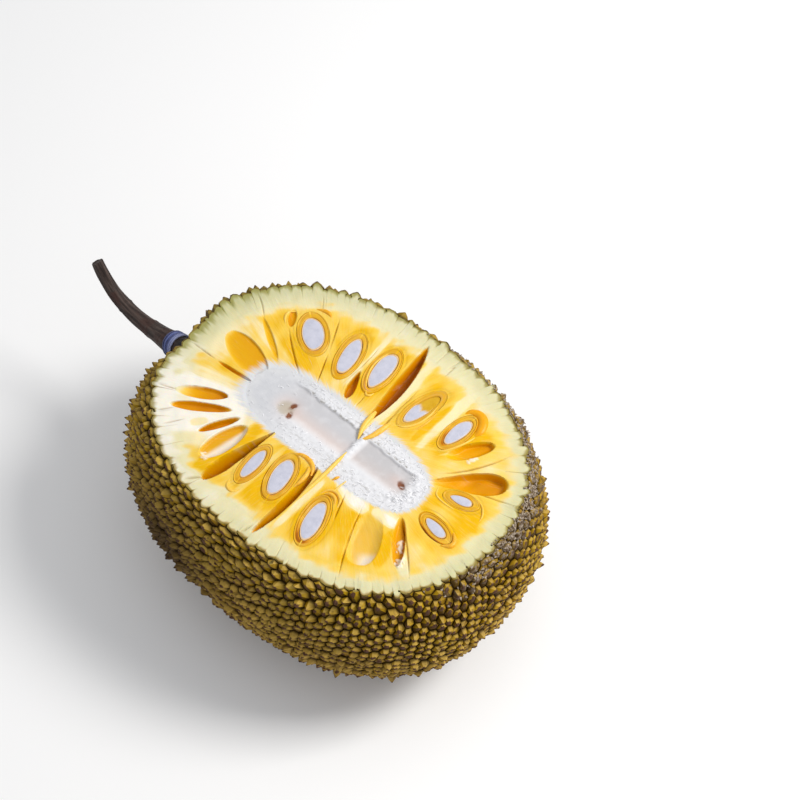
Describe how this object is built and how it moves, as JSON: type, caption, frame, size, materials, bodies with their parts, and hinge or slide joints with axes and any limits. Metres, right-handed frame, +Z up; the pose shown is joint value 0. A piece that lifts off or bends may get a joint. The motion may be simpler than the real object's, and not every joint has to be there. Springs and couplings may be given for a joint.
{
  "type": "jackfruit half",
  "caption": "Jackfruit half cut lengthwise, resting on its rounded spiny back, with core, bulbs, cut seeds, stalk and a string tie.",
  "frame": {"origin": "centre of the small flat patch on the rounded back, on which the half rests", "axes": "+X along the fruit from the stalk end to the blossom end, +Y across it, +Z up and square to the cut face"},
  "size_m": [0.4184, 0.2515, 0.148],
  "materials": {
    "rind": "matte",
    "flesh": "satin",
    "core": "matte",
    "bulb": "satin",
    "seed": "satin",
    "stalk": "matte",
    "tie": "matte"
  },
  "bodies": {
    "root": {"rind": "rind", "flesh": "flesh", "core": "core", "bulb_01": "bulb", "bulb_02": "bulb", "bulb_03": "bulb", "bulb_04": "bulb", "bulb_05": "bulb", "bulb_06": "bulb", "bulb_07": "bulb", "bulb_08": "bulb", "bulb_09": "bulb", "bulb_10": "bulb", "seed_01": "seed", "seed_02": "seed", "seed_03": "seed", "seed_04": "seed", "seed_05": "seed", "seed_06": "seed", "seed_07": "seed", "seed_08": "seed", "seed_09": "seed", "seed_10": "seed", "stalk": "stalk", "tie": "tie"}
  },
  "joints": []
}
